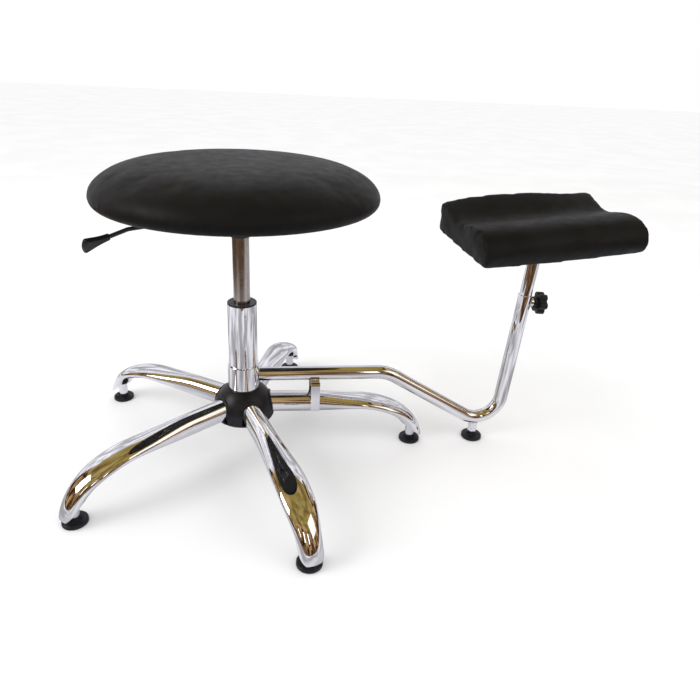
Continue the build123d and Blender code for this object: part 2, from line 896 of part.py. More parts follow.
with BuildPart() as arm_tube:
    with BuildSketch(Plane(origin=arm_path.line @ 0, z_dir=arm_path.line % 0)):
        Circle(arm_radius)
        Circle(arm_radius - arm_wall, mode=Mode.SUBTRACT)
    sweep(path=arm_path.line)
    Cylinder(collar_radius, 4 * collar_top, mode=Mode.SUBTRACT)
    with BuildSketch(Plane.XY):
        with Locations((foot_x, 0)):
            Circle(foot_stem_radius + free_gap)
    extrude(amount=foot_stem_top, mode=Mode.SUBTRACT)
    with BuildSketch(clamp_plane):
        Circle(clamp_screw_radius + free_gap)
    extrude(amount=2 * arm_radius, mode=Mode.SUBTRACT)
arm_tube.part.label = "arm_tube"
export_step(arm_tube.part, "parts/arm_tube.step")

with BuildPart() as arm_envelope:
    with BuildSketch(Plane(origin=arm_path.line @ 0, z_dir=arm_path.line % 0)):
        Circle(arm_radius)
    sweep(path=arm_path.line)

fork_plane = Plane.YZ.offset(fork_x)
fork_outer_half_width = fork_inner_half_width + fork_strap_thickness
fork_crown = fork_top - fork_strap_thickness

with BuildPart() as fork_bracket:
    with BuildSketch(fork_plane):
        with BuildLine():
            FilletPolyline(
                (-fork_outer_half_width, fork_base),
                (-fork_outer_half_width, fork_top),
                (fork_outer_half_width, fork_top),
                (fork_outer_half_width, fork_base),
                radius=2 * fork_strap_thickness,
            )
            FilletPolyline(
                (-fork_inner_half_width, fork_base),
                (-fork_inner_half_width, fork_crown),
                (fork_inner_half_width, fork_crown),
                (fork_inner_half_width, fork_base),
                radius=fork_strap_thickness,
            )
            Line((-fork_outer_half_width, fork_base), (-fork_inner_half_width, fork_base))
            Line((fork_inner_half_width, fork_base), (fork_outer_half_width, fork_base))
        make_face()
    extrude(amount=fork_strap_width / 2, both=True)
    add(arm_envelope.part, mode=Mode.SUBTRACT)
fork_bracket.part.label = "fork_bracket"
export_step(fork_bracket.part, "parts/fork_bracket.step")

with BuildPart() as foot_boss:
    with BuildSketch(Plane.XY.offset(foot_boss_base)):
        with Locations((foot_x, 0)):
            Circle(foot_boss_radius)
            Circle(foot_stem_radius + seat_gap, mode=Mode.SUBTRACT)
    extrude(amount=foot_boss_top - foot_boss_base)
    add(arm_envelope.part, mode=Mode.SUBTRACT)
foot_boss.part.label = "foot_boss"
export_step(foot_boss.part, "parts/foot_boss.step")

with BuildPart() as foot_stem:
    with BuildSketch(Plane.XY.offset(glide_stem_base)):
        with Locations((foot_x, 0)):
            Circle(foot_stem_radius)
    extrude(amount=foot_stem_top - glide_stem_base)
    chamfer(foot_stem.edges().sort_by(Axis.Z)[-1], stem_chamfer)
foot_stem.part.label = "foot_stem"
export_step(foot_stem.part, "parts/foot_stem.step")

with BuildPart() as foot_lock_nut:
    with BuildSketch(Plane.XY.offset(lock_nut_base)):
        with Locations((foot_x, 0)):
            RegularPolygon(lock_nut_flats / 2, hex_sides, major_radius=False)
            Circle(foot_stem_radius + seat_gap, mode=Mode.SUBTRACT)
    extrude(amount=lock_nut_height)
foot_lock_nut.part.label = "foot_lock_nut"
export_step(foot_lock_nut.part, "parts/foot_lock_nut.step")

with BuildPart() as arm_foot:
    with Locations((foot_x, 0, 0)):
        add(glide_centred.part)
    with BuildSketch(Plane.XY.offset(glide_stem_base - running_gap)):
        with Locations((foot_x, 0)):
            Circle(foot_stem_radius + running_gap)
    extrude(amount=glide_height, mode=Mode.SUBTRACT)
arm_foot.part.label = "arm_foot"
export_step(arm_foot.part, "parts/arm_foot.step")

# ---- clamp ----
with BuildPart() as clamp_boss:
    with BuildSketch(clamp_plane):
        Circle(clamp_boss_radius)
        Circle(clamp_screw_radius + seat_gap, mode=Mode.SUBTRACT)
    extrude(amount=clamp_boss_reach)
    with BuildSketch(upright_plane):
        Circle(arm_radius)
    extrude(amount=2 * upright_length, mode=Mode.SUBTRACT)
clamp_boss.part.label = "clamp_boss"
export_step(clamp_boss.part, "parts/clamp_boss.step")

with BuildPart() as clamp_screw:
    with BuildSketch(clamp_plane.offset(clamp_screw_tip)):
        Circle(clamp_screw_radius)
    extrude(amount=clamp_screw_end - clamp_screw_tip)
    chamfer(clamp_screw.edges().sort_by(Axis.X)[0], stem_chamfer)
clamp_screw.part.label = "clamp_screw"
export_step(clamp_screw.part, "parts/clamp_screw.step")

with BuildPart() as clamp_knob:
    with BuildSketch(clamp_plane.offset(knob_base + knob_neck_height)):
        Circle(knob_body_radius)
        with PolarLocations(knob_radius - knob_lobe_radius, knob_lobes):
            Circle(knob_lobe_radius)
    extrude(amount=knob_height - knob_neck_height)
    knob_faces = clamp_knob.faces().sort_by(Axis(clamp_plane.origin, clamp_plane.z_dir))
    fillet(knob_faces[0].edges() + knob_faces[-1].edges(), knob_round)
    with BuildSketch(clamp_plane.offset(knob_base)):
        Circle(knob_neck_radius)
    extrude(amount=2 * knob_neck_height)
    with BuildSketch(clamp_plane.offset(knob_base)):
        Circle(clamp_screw_radius + running_gap)
    extrude(amount=clamp_screw_end - knob_base + running_gap, mode=Mode.SUBTRACT)
clamp_knob.part.label = "clamp_knob"
export_step(clamp_knob.part, "parts/clamp_knob.step")

# ---- post ----
pad_plane = Plane(origin=pad_centre, x_dir=(1, 0, 0), z_dir=(0, 0, 1)).rotated(
    (0, 0, pad_azimuth)
).rotated((pad_side_tilt, 0, 0)).rotated((0, pad_end_tilt, 0))

post_plane = upright_plane.offset(post_start)

with BuildPart() as post_tube:
    with BuildSketch(post_plane):
        Circle(post_radius)
        Circle(post_radius - post_wall, mode=Mode.SUBTRACT)
    extrude(amount=post_length)
    split(bisect_by=pad_plane.offset(-flange_thickness), keep=Keep.BOTTOM)
post_tube.part.label = "post_tube"
export_step(post_tube.part, "parts/post_tube.step")

with BuildPart() as post_bush:
    with BuildSketch(post_plane.offset(-running_gap)):
        Circle(arm_radius - arm_wall - 2 * running_gap)
    extrude(amount=-post_bush_flange)
    with BuildSketch(post_plane.offset(-running_gap)):
        Circle(post_radius - post_wall - running_gap)
    extrude(amount=post_bush_spigot)
post_bush.part.label = "post_bush"
export_step(post_bush.part, "parts/post_bush.step")

# ---- support pad ----
post_head = upright_plane.origin + upright_direction * (
    (pad_plane.origin - upright_plane.origin).dot(pad_plane.z_dir) / upright_direction.dot(pad_plane.z_dir)
)
post_head_local = pad_plane.to_local_coords(post_head)
screw_plane = pad_plane.offset(-flange_thickness)
screw_centre = (post_head_local.X, post_head_local.Y)

with BuildPart() as pad_flange:
    with BuildSketch(pad_plane):
        with Locations(screw_centre):
            RectangleRounded(flange_length, flange_width, flange_corner)
            with GridLocations(flange_screw_x, flange_screw_y, 2, 2):
                Circle(pad_screw_radius + free_gap, mode=Mode.SUBTRACT)
    extrude(amount=-flange_thickness)
pad_flange.part.label = "pad_flange"
export_step(pad_flange.part, "parts/pad_flange.step")

with BuildPart() as pad_board:
    with BuildSketch(pad_plane):
        RectangleRounded(pad_board_length, pad_board_width, pad_board_corner)
        with Locations(screw_centre):
            with GridLocations(flange_screw_x, flange_screw_y, 2, 2):
                Circle(pad_screw_radius + seat_gap, mode=Mode.SUBTRACT)
    extrude(amount=pad_board_thickness)
pad_board.part.label = "pad_board"
export_step(pad_board.part, "parts/pad_board.step")

with BuildPart() as pad_screws:
    with BuildSketch(screw_plane):
        with Locations(screw_centre):
            with GridLocations(flange_screw_x, flange_screw_y, 2, 2):
                Circle(pad_screw_head_radius)
    extrude(amount=-pad_screw_head_height)
    with BuildSketch(screw_plane):
        with Locations(screw_centre):
            with GridLocations(flange_screw_x, flange_screw_y, 2, 2):
                Circle(pad_screw_radius)
    extrude(amount=flange_thickness + pad_screw_depth)
pad_screws.part.label = "pad_screws"
export_step(pad_screws.part, "parts/pad_screws.step")


def pad_section(along):
    """Side profile of the pad cushion; its back edge is crowned, most of all left of the middle."""
    share = 2 * along / pad_length
    back_z = pad_back_z + pad_back_crown * (1 - share**2) * (1 - pad_back_skew * share)
    roll = Spline(
        (pad_front, 0),
        pad_nose,
        pad_brow,
        pad_roll,
        pad_slope,
        pad_valley,
        (pad_rise_y, pad_valley[1] + pad_rise_share * (back_z - pad_valley[1])),
        (pad_back - pad_edge, back_z),
    )
    Polyline(
        roll @ 1,
        (pad_back, back_z - pad_edge),
        (pad_back, 0),
        (pad_front, 0),
    )


pad_end_plane = Plane(origin=pad_plane.origin, x_dir=pad_plane.y_dir, z_dir=pad_plane.x_dir)

with BuildPart() as pad_cushion:
    for number in range(pad_section_count + 1):
        along = pad_length * (number / pad_section_count - 1 / 2)
        with BuildSketch(pad_end_plane.offset(along)):
            with BuildLine():
                pad_section(along)
            make_face()
    loft()
    with BuildSketch(pad_plane):
        RectangleRounded(
            pad_board_length + 2 * board_gap,
            pad_board_width + 2 * board_gap,
            pad_board_corner,
        )
    extrude(amount=pad_board_thickness + board_gap, mode=Mode.SUBTRACT)
pad_cushion.part.label = "pad_cushion"
export_step(pad_cushion.part, "parts/pad_cushion.step")
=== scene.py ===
"""Looks for the dentist stool: upholstery, dust cover, welds, materials, studio and camera."""

import json
import math

import bmesh
import bpy
from mathutils import Matrix, Vector
from mathutils.bvhtree import BVHTree
from mathutils.kdtree import KDTree


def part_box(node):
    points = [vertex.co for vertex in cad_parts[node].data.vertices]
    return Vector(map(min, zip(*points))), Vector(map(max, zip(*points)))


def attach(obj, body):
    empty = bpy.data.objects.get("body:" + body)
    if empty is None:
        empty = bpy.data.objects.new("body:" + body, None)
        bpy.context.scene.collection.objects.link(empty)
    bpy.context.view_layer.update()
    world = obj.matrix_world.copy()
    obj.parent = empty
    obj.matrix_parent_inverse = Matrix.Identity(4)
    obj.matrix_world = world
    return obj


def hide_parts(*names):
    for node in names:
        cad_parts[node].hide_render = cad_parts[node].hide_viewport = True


MM = 0.001

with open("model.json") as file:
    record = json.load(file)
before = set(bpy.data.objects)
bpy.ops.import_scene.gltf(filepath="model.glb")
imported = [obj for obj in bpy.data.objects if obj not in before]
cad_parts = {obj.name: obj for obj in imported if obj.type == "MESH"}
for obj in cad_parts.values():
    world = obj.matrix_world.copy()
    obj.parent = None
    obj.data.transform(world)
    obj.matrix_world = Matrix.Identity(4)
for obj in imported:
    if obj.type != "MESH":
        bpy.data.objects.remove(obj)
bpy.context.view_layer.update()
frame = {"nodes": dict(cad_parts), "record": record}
nodes = frame["nodes"]


# ---- camera ----

CAMERA_PLACE = Vector((0.0315, -0.953, 0.6738))
CAMERA_YAW = 8.79
CAMERA_PITCH = 23.64
CAMERA_ROLL = 2.95
CAMERA_LENS = 30.63
CAMERA_SHIFT = (0.007, -0.040)


def add_camera():
    """Looks along +Y, turned right by the yaw and down by the pitch, then rolled about its own axis."""
    yaw = math.radians(CAMERA_YAW)
    pitch = math.radians(CAMERA_PITCH)
    roll = math.radians(CAMERA_ROLL)
    forward = Vector((
        math.sin(yaw) * math.cos(pitch),
        math.cos(yaw) * math.cos(pitch),
        -math.sin(pitch),
    ))
    right = forward.cross(Vector((0, 0, 1))).normalized()
    up = right.cross(forward)
    rolled_right = right * math.cos(roll) + up * math.sin(roll)
    rolled_up = up * math.cos(roll) - right * math.sin(roll)
    turn = Matrix((rolled_right, rolled_up, -forward)).transposed()
    data = bpy.data.cameras.new("camera")
    data.lens = CAMERA_LENS
    data.sensor_width = 36
    data.shift_x, data.shift_y = CAMERA_SHIFT
    camera = bpy.data.objects.new("camera", data)
    camera.matrix_world = Matrix.Translation(CAMERA_PLACE) @ turn.to_4x4()
    bpy.context.scene.collection.objects.link(camera)
    bpy.context.scene.camera = camera


add_camera()


# ---- node helpers ----

def new_material(name, **sockets):
    """A material with one Principled shader, its constant values set on the shader's own sockets."""
    material = bpy.data.materials.new(name)
    material.use_nodes = True
    shader = material.node_tree.nodes["Principled BSDF"]
    for socket, value in sockets.items():
        shader.inputs[socket.replace("_", " ")].default_value = value
    return material, shader


def add_node(material, kind, **settings):
    """A new node, with its properties or its input sockets set by name."""
    node = material.node_tree.nodes.new(kind)
    for key, value in settings.items():
        if hasattr(node, key):
            setattr(node, key, value)
        else:
            node.inputs[key.replace("_", " ")].default_value = value
    return node


def wire(material, source, target):
    """Links an output socket to an input socket."""
    material.node_tree.links.new(source, target)


def place_texture(material, node):
    """Textures follow the object's own metres, so they stay put when a joint moves."""
    where = add_node(material, "ShaderNodeTexCoord")
    wire(material, where.outputs["Object"], node.inputs["Vector"])


def noise(material, scale, detail=4.0, roughness=0.55, distortion=0.0):
    """A noise texture in object metres: scale is features per metre."""
    node = add_node(material, "ShaderNodeTexNoise", Scale=scale, Detail=detail)
    node.inputs["Roughness"].default_value = roughness
    node.inputs["Distortion"].default_value = distortion
    place_texture(material, node)
    return node


def ramp(material, source, stops):
    """A colour ramp from (place, colour) stops."""
    node = add_node(material, "ShaderNodeValToRGB")
    points = node.color_ramp.elements
    while len(points) < len(stops):
        points.new(0.5)
    for point, (place, colour) in zip(points, stops):
        point.position = place
        point.color = (*colour, 1)
    wire(material, source, node.inputs["Fac"])
    return node


def spread(material, source, low, high, start=0.3, end=0.7):
    """Maps a texture's value to a range of roughness or height."""
    node = add_node(material, "ShaderNodeMapRange")
    node.inputs["From Min"].default_value = start
    node.inputs["From Max"].default_value = end
    node.inputs["To Min"].default_value = low
    node.inputs["To Max"].default_value = high
    wire(material, source, node.inputs["Value"])
    return node


def bump(material, shader, height, strength, distance, below=None):
    """Adds a bump layer to the shader's normal, over an earlier layer if one is given."""
    node = add_node(material, "ShaderNodeBump", Strength=strength, Distance=distance)
    wire(material, height, node.inputs["Height"])
    if below:
        wire(material, below.outputs["Normal"], node.inputs["Normal"])
    wire(material, node.outputs["Normal"], shader.inputs["Normal"])
    return node


# ---- materials ----

def make_chrome(name="polished_chrome", smudge=0.09, waviness=0.10):
    """Mirror-bright plating: slight waviness from the bent tube, faint smudges and fine polish lines."""
    material, shader = new_material(name, Metallic=1.0)
    cloud = noise(material, 9, detail=5)
    tint = ramp(material, cloud.outputs["Fac"], [(0.3, (0.80, 0.81, 0.83)), (0.7, (0.90, 0.90, 0.91))])
    wire(material, tint.outputs["Color"], shader.inputs["Base Color"])
    smear = noise(material, 38, detail=6, distortion=1.2)
    rough = spread(material, smear.outputs["Fac"], 0.025, smudge, 0.45, 0.8)
    wire(material, rough.outputs["Result"], shader.inputs["Roughness"])
    wave = noise(material, 22, detail=2)
    first = bump(material, shader, wave.outputs["Fac"], waviness, 0.0012)
    polish = noise(material, 900, detail=2)
    bump(material, shader, polish.outputs["Fac"], 0.04, 0.00004, first)
    return material


def make_satin_chrome():
    """Dull plating of the gas cylinder: grey-brown, wiped lengthwise by the guide bush."""
    material, shader = new_material("satin_chrome", Metallic=1.0)
    cloud = noise(material, 12, detail=5)
    tint = ramp(material, cloud.outputs["Fac"], [(0.3, (0.40, 0.37, 0.34)), (0.7, (0.55, 0.52, 0.49))])
    wire(material, tint.outputs["Color"], shader.inputs["Base Color"])
    smear = noise(material, 60, detail=6)
    rough = spread(material, smear.outputs["Fac"], 0.16, 0.28)
    wire(material, rough.outputs["Result"], shader.inputs["Roughness"])
    score = noise(material, 700, detail=3)
    bump(material, shader, score.outputs["Fac"], 0.06, 0.00005)
    return material


def make_dust_cloth():
    """Black non-woven cloth: matt, with pressed dimples and loose fibre."""
    material, shader = new_material("dust_cloth", IOR=1.45)
    shader.inputs["Specular IOR Level"].default_value = 0.2
    shader.inputs["Sheen Weight"].default_value = 0.08
    fibre = noise(material, 900, detail=6, distortion=1.5)
    tint = ramp(material, fibre.outputs["Fac"], [(0.3, (0.008, 0.008, 0.009)), (0.7, (0.022, 0.022, 0.023))])
    wire(material, tint.outputs["Color"], shader.inputs["Base Color"])
    rough = spread(material, fibre.outputs["Fac"], 0.75, 0.92)
    wire(material, rough.outputs["Result"], shader.inputs["Roughness"])
    dimples = add_node(material, "ShaderNodeTexVoronoi", Scale=520.0)
    place_texture(material, dimples)
    first = bump(material, shader, dimples.outputs["Distance"], 0.4, 0.0002)
    bump(material, shader, fibre.outputs["Fac"], 0.3, 0.0001, first)
    return material


def make_plated_steel():
    """Zinc-plated steel of screws, pins and rods: satin, with turned lines and dull patches."""
    material, shader = new_material("plated_steel", Metallic=1.0)
    patch = noise(material, 120, detail=5)
    tint = ramp(material, patch.outputs["Fac"], [(0.3, (0.40, 0.41, 0.42)), (0.7, (0.62, 0.62, 0.61))])
    wire(material, tint.outputs["Color"], shader.inputs["Base Color"])
    rough = spread(material, patch.outputs["Fac"], 0.22, 0.42)
    wire(material, rough.outputs["Result"], shader.inputs["Roughness"])
    lines = add_node(material, "ShaderNodeTexWave", Scale=600.0, Distortion=1.5)
    lines.bands_direction = "Z"
    place_texture(material, lines)
    bump(material, shader, lines.outputs["Fac"], 0.12, 0.00005)
    return material


def make_black_plastic(name="black_plastic", gloss=(0.30, 0.42), grain=1400.0, colour=0.006):
    """Moulded nylon: near black with a blue cast, fine spark-eroded grain and worn, shinier patches."""
    material, shader = new_material(name, IOR=1.5)
    shader.inputs["Specular IOR Level"].default_value = 0.32
    patch = noise(material, 45, detail=6)
    deep = (colour, colour, colour * 1.35)
    worn = (colour * 2.2, colour * 2.2, colour * 2.9)
    tint = ramp(material, patch.outputs["Fac"], [(0.35, deep), (0.75, worn)])
    wire(material, tint.outputs["Color"], shader.inputs["Base Color"])
    rough = spread(material, patch.outputs["Fac"], *gloss)
    wire(material, rough.outputs["Result"], shader.inputs["Roughness"])
    cells = add_node(material, "ShaderNodeTexVoronoi", Scale=grain)
    place_texture(material, cells)
    first = bump(material, shader, cells.outputs["Distance"], 0.22, 0.00008)
    fine = noise(material, 4 * grain, detail=2)
    bump(material, shader, fine.outputs["Fac"], 0.10, 0.00003, first)
    return material


def make_leatherette(name="black_leatherette", colour=0.0042, roughness=(0.44, 0.56)):
    """Black upholstery vinyl: pebbled grain of two sizes, pores between the pebbles, soft sheen."""
    material, shader = new_material(name, IOR=1.46)
    shader.inputs["Specular IOR Level"].default_value = 0.15
    shader.inputs["Sheen Weight"].default_value = 0.03
    shader.inputs["Sheen Roughness"].default_value = 0.45
    cloud = noise(material, 16, detail=5)
    deep = (colour, colour, colour * 1.06)
    light = (colour * 1.9, colour * 1.9, colour * 2.0)
    tint = ramp(material, cloud.outputs["Fac"], [(0.3, deep), (0.75, light)])
    wire(material, tint.outputs["Color"], shader.inputs["Base Color"])
    patch = noise(material, 60, detail=4)
    rough = spread(material, patch.outputs["Fac"], *roughness)
    wire(material, rough.outputs["Result"], shader.inputs["Roughness"])
    pebbles = add_node(material, "ShaderNodeTexVoronoi", Scale=620.0, feature="SMOOTH_F1")
    place_texture(material, pebbles)
    first = bump(material, shader, pebbles.outputs["Distance"], 0.30, 0.00018)
    first.invert = True
    pores = add_node(material, "ShaderNodeTexVoronoi", Scale=1500.0)
    place_texture(material, pores)
    second = bump(material, shader, pores.outputs["Distance"], 0.16, 0.00007, first)
    crease = noise(material, 90, detail=7, distortion=0.6)
    bump(material, shader, crease.outputs["Fac"], 0.10, 0.0004, second)
    return material


def make_plywood():
    """Raw birch plywood: long wavy grain on the faces, thin plies seen on the edge."""
    material, shader = new_material("plywood")
    grain = add_node(material, "ShaderNodeTexWave", Scale=14.0, Distortion=7.0)
    grain.bands_direction = "Y"
    grain.inputs["Detail"].default_value = 4
    place_texture(material, grain)
    tint = ramp(material, grain.outputs["Fac"], [
        (0.0, (0.55, 0.38, 0.22)), (0.55, (0.68, 0.50, 0.31)), (1.0, (0.74, 0.57, 0.38)),
    ])
    plies = add_node(material, "ShaderNodeTexWave", Scale=320.0, Distortion=0.4)
    plies.bands_direction = "Z"
    place_texture(material, plies)
    mixed = add_node(material, "ShaderNodeMix", data_type="RGBA", blend_type="MULTIPLY")
    mixed.inputs["Factor"].default_value = 0.25
    wire(material, tint.outputs["Color"], mixed.inputs["A"])
    wire(material, plies.outputs["Color"], mixed.inputs["B"])
    wire(material, mixed.outputs["Result"], shader.inputs["Base Color"])
    fibre = noise(material, 500, detail=5)
    rough = spread(material, fibre.outputs["Fac"], 0.55, 0.8)
    wire(material, rough.outputs["Result"], shader.inputs["Roughness"])
    bump(material, shader, fibre.outputs["Fac"], 0.2, 0.0001)
    return material


def make_powder_coat():
    """Black powder coat on pressed steel: orange-peel surface with slight colour clouding."""
    material, shader = new_material("black_powder_coat", IOR=1.5)
    cloud = noise(material, 30, detail=4)
    tint = ramp(material, cloud.outputs["Fac"], [(0.3, (0.012, 0.012, 0.013)), (0.7, (0.024, 0.024, 0.026))])
    wire(material, tint.outputs["Color"], shader.inputs["Base Color"])
    rough = spread(material, cloud.outputs["Fac"], 0.34, 0.46)
    wire(material, rough.outputs["Result"], shader.inputs["Roughness"])
    peel = noise(material, 700, detail=2)
    bump(material, shader, peel.outputs["Fac"], 0.35, 0.00012)
    return material


def make_rubber():
    """Dull black rubber with a faint bloom."""
    material, shader = new_material("stop_rubber", IOR=1.5)
    bloom = noise(material, 80, detail=6)
    tint = ramp(material, bloom.outputs["Fac"], [(0.35, (0.012, 0.012, 0.012)), (0.8, (0.045, 0.043, 0.04))])
    wire(material, tint.outputs["Color"], shader.inputs["Base Color"])
    rough = spread(material, bloom.outputs["Fac"], 0.6, 0.85)
    wire(material, rough.outputs["Result"], shader.inputs["Roughness"])
    bump(material, shader, bloom.outputs["Fac"], 0.2, 0.0002)
    return material


chrome = make_chrome()
leatherette = make_leatherette()
black_plastic = make_black_plastic()
plated_steel = make_plated_steel()
satin_chrome = make_satin_chrome()
dust_cloth = make_dust_cloth()

finishes = {
    "chromed_steel": chrome,
    "plated_steel": plated_steel,
    "black_plastic": black_plastic,
    "bearing_plastic": make_black_plastic("bearing_plastic", gloss=(0.25, 0.35), grain=2200.0, colour=0.014),
    "black_leatherette": leatherette,
    "plywood": make_plywood(),
    "black_paint": make_powder_coat(),
    "stop_rubber": make_rubber(),
}


def paint_cad_nodes():
    """Gives each CAD node its slot's finish; the gas cylinder's plating is duller than the tubes'."""
    for part in frame["record"]["subparts"]:
        node = nodes[part["node"]]
        node.data.materials.clear()
        node.data.materials.append(finishes[part["material_slot"]])
    nodes["gas_cylinder"].data.materials[0] = satin_chrome


paint_cad_nodes()


# ---- upholstery ----

def copy_of(node, name):
    """A new object with a CAD node's mesh."""
    piece = bpy.data.objects.new(name, nodes[node].data.copy())
    piece.data.name = name
    bpy.context.scene.collection.objects.link(piece)
    return piece


def apply_modifiers(piece):
    """Puts the result of a piece's modifiers into its mesh."""
    graph = bpy.context.evaluated_depsgraph_get()
    made = bpy.data.meshes.new_from_object(piece.evaluated_get(graph))
    old = piece.data
    piece.modifiers.clear()
    piece.data = made
    made.name = piece.name
    bpy.data.meshes.remove(old)


def remesh(piece, size):
    """Turns the piece into an even grid of faces, ready for cloth or smoothing."""
    modifier = piece.modifiers.new("remesh", "REMESH")
    modifier.mode = "VOXEL"
    modifier.voxel_size = size
    apply_modifiers(piece)


def relax(piece, rounds):
    """Smooths away the steps that the remesh leaves."""
    modifier = piece.modifiers.new("relax", "SMOOTH")
    modifier.factor = 0.5
    modifier.iterations = rounds
    apply_modifiers(piece)


def swell(piece, held, pressure, cap, frames=20):
    """Blows the piece up as cloth, up to cap; the points in held keep their place."""
    rest = [v.co.copy() for v in piece.data.vertices]
    group = piece.vertex_groups.new(name="held")
    for vertex in piece.data.vertices:
        weight = held(vertex.co)
        if weight > 0:
            group.add([vertex.index], weight, "REPLACE")
    cloth = piece.modifiers.new("cloth", "CLOTH")
    cloth.settings.quality = 6
    cloth.settings.mass = 0.25
    cloth.settings.tension_stiffness = 18
    cloth.settings.compression_stiffness = 18
    cloth.settings.shear_stiffness = 8
    cloth.settings.bending_stiffness = 1.5
    cloth.settings.use_pressure = True
    cloth.settings.uniform_pressure_force = pressure
    cloth.settings.effector_weights.gravity = 0
    cloth.settings.vertex_group_mass = "held"
    cloth.point_cache.frame_start = 1
    cloth.point_cache.frame_end = frames
    for step in range(1, frames + 1):
        bpy.context.scene.frame_set(step)
        bpy.context.view_layer.update()
    apply_modifiers(piece)
    bpy.context.scene.frame_set(1)
    for vertex, before in zip(piece.data.vertices, rest):
        move = vertex.co - before
        if move.length > cap:
            vertex.co = before + move * (cap / move.length)
    piece.vertex_groups.clear()


def finish_soft(piece, body, node):
    """Adds the last subdivision and the material of an upholstered piece, puts it on its body and hides its
    CAD node.
    """
    modifier = piece.modifiers.new("round", "SUBSURF")
    modifier.levels = 1
    modifier.render_levels = 1
    apply_modifiers(piece)
    for face in piece.data.polygons:
        face.use_smooth = True
    piece.data.materials.clear()
    piece.data.materials.append(leatherette)
    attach(piece, body)
    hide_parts(node)


def make_seat():
    """The round seat: a domed cushion under tension, pulled in at the board's edge below."""
    low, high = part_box("seat_cushion")
    piece = copy_of("seat_cushion", "seat_upholstery")
    remesh(piece, 5 * MM)
    relax(piece, 2)
    floor_line = low.z + 6 * MM
    swell(piece, lambda place: float(place.z < floor_line), pressure=3.0, cap=1.2 * MM)
    relax(piece, 8)
    finish_soft(piece, "seat", "seat_cushion")


def make_pad():
    """The support pad: crowned block with a valley and a rolled front edge."""
    piece = copy_of("pad_cushion", "pad_upholstery")
    remesh(piece, 4 * MM)
    relax(piece, 4)
    plate = nodes["pad_board"]
    tree = KDTree(len(plate.data.vertices))
    for index, vertex in enumerate(plate.data.vertices):
        tree.insert(vertex.co, index)
    tree.balance()
    swell(piece, lambda place: float(tree.find(place)[2] < 4 * MM), pressure=3.0, cap=2.5 * MM)
    relax(piece, 3)
    finish_soft(piece, "pad", "pad_cushion")


make_seat()
make_pad()


# ---- dust cover under the seat ----

COVER_RADIUS = 199 * MM
COVER_HOLE_HALF = 76.5 * MM
COVER_DROP = 0.75
PUCKER_DEPTH = 0.35
SLACK_DEPTH = 0.9
FOLD_COUNT = 5
COVER_RINGS = 14
COVER_STEPS = 240
STAPLE_COUNT = 28
STAPLE_CIRCLE = 194 * MM
STAPLE_LENGTH = 9 * MM
STAPLE_RADIUS = 0.45 * MM
STAPLE_DROP = 0.95 * MM
STAPLE_LEG = 1.2 * MM


def mount_turn():
    """Angle of the mount plate about the column, read from its own corners."""
    plate = nodes["seat_mount"].data.vertices
    top = max(vertex.co.z for vertex in plate)
    rim = [vertex.co for vertex in plate if vertex.co.z > top - MM]
    far = max(rim, key=lambda place: place.xy.length)
    return math.atan2(far.y, far.x) - math.pi / 4


def plate_edge(angle, half):
    """Distance from the middle of a square to its edge at an angle from its side."""
    return half / max(abs(math.cos(angle)), abs(math.sin(angle)))


def make_dust_cover():
    """Thin cloth stapled to the seat board, cut out round the mount plate, puckered at its staples."""
    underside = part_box("seat_board")[0].z
    turn = mount_turn()
    shape = bmesh.new()
    rings = []
    for ring in range(COVER_RINGS + 1):
        share = ring / COVER_RINGS
        row = []
        for step in range(COVER_STEPS):
            angle = 2 * math.pi * step / COVER_STEPS
            inner = plate_edge(angle, COVER_HOLE_HALF)
            reach = inner + (COVER_RADIUS - inner) * share
            pucker = math.cos(angle * STAPLE_COUNT) * share ** 4
            slack = math.sin(math.pi * share) * (0.6 + 0.4 * math.sin(FOLD_COUNT * angle))
            height = underside - (COVER_DROP + PUCKER_DEPTH * pucker + SLACK_DEPTH * slack) * MM
            row.append(shape.verts.new((
                reach * math.cos(angle + turn), reach * math.sin(angle + turn), height,
            )))
        rings.append(row)
    for inside, outside in zip(rings, rings[1:]):
        for step in range(COVER_STEPS):
            after = (step + 1) % COVER_STEPS
            shape.faces.new((inside[step], inside[after], outside[after], outside[step]))
    area = sum(face.calc_area() for face in shape.faces)
    data = bpy.data.meshes.new("seat_dust_cover")
    shape.to_mesh(data)
    shape.free()
    data.materials.append(dust_cloth)
    for face in data.polygons:
        face.use_smooth = True
    cover = bpy.data.objects.new("seat_dust_cover", data)
    bpy.context.scene.collection.objects.link(cover)
    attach(cover, "seat")


def thread(name, body, lines, radius, material, ripple=0.0, closed=False):
    """Round wire or weld metal along the lines; ripple makes its thickness rise and fall."""
    curve = bpy.data.curves.new(name, "CURVE")
    curve.dimensions = "3D"
    curve.bevel_depth = radius
    curve.bevel_resolution = 3
    curve.use_fill_caps = True
    for line in lines:
        spline = curve.splines.new("POLY")
        spline.points.add(len(line) - 1)
        for index, place in enumerate(line):
            spline.points[index].co = (*place, 1)
            spline.points[index].radius = 1 + ripple * math.sin(1.9 * index)
        spline.use_cyclic_u = closed
    curve.materials.append(material)
    piece = bpy.data.objects.new(name, curve)
    bpy.context.scene.collection.objects.link(piece)
    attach(piece, body)


def make_staples():
    """Wire staples that hold the dust cover, all round the seat board."""
    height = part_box("seat_board")[0].z - STAPLE_DROP
    lines = []
    for number in range(STAPLE_COUNT):
        angle = 2 * math.pi * (number + 0.5) / STAPLE_COUNT + 0.02 * math.sin(7 * number)
        middle = Vector((math.cos(angle), math.sin(angle), 0)) * STAPLE_CIRCLE
        along = Vector((-math.sin(angle), math.cos(angle), 0)) * (STAPLE_LENGTH / 2)
        down = Vector((0, 0, height))
        lift = Vector((0, 0, STAPLE_LEG))
        lines.append([middle - along + down + lift, middle - along + down,
                      middle + along + down, middle + along + down + lift])
    thread("seat_staples", "seat", lines, STAPLE_RADIUS, plated_steel)


